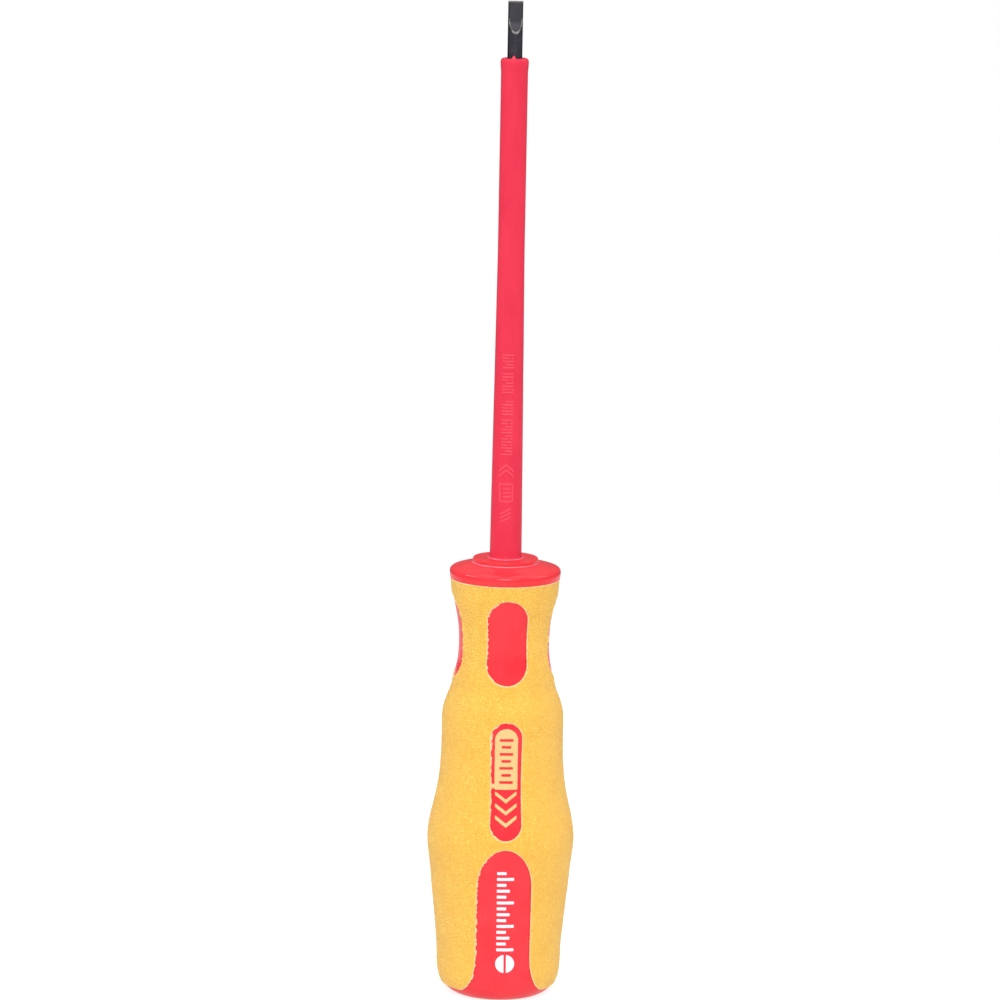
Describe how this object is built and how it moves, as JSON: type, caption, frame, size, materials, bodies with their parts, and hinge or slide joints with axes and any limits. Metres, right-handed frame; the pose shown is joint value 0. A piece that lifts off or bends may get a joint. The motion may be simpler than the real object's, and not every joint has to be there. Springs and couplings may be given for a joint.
{
  "type": "insulated screwdriver",
  "caption": "Slotted insulated screwdriver: dark round blade with a ground flat tip, red insulating sheath, red guard collar and a soft yellow waisted grip with red windows.",
  "frame": {"origin": "centre of the flat butt of the handle, at the bottom of the standing tool", "axes": "+Z along the blade, towards the tip; -Y is the front, with the size marking and the badge; +X is to the right of the front"},
  "size_m": [0.0294, 0.0294, 0.2],
  "materials": {
    "blade_steel": "black oxide, satin",
    "sheath_plastic": "satin moulded",
    "handle_plastic": "satin moulded",
    "soft_grip": "matte, leather grained",
    "soft_inlay": "matte"
  },
  "bodies": {
    "root": {"blade": "blade_steel", "blade_insulation": "sheath_plastic", "handle_core": "handle_plastic", "handle_shell": "handle_plastic", "grip_sleeve": "soft_grip", "badge_inlay_front": "soft_inlay", "badge_inlay_rear": "soft_inlay"}
  },
  "joints": []
}
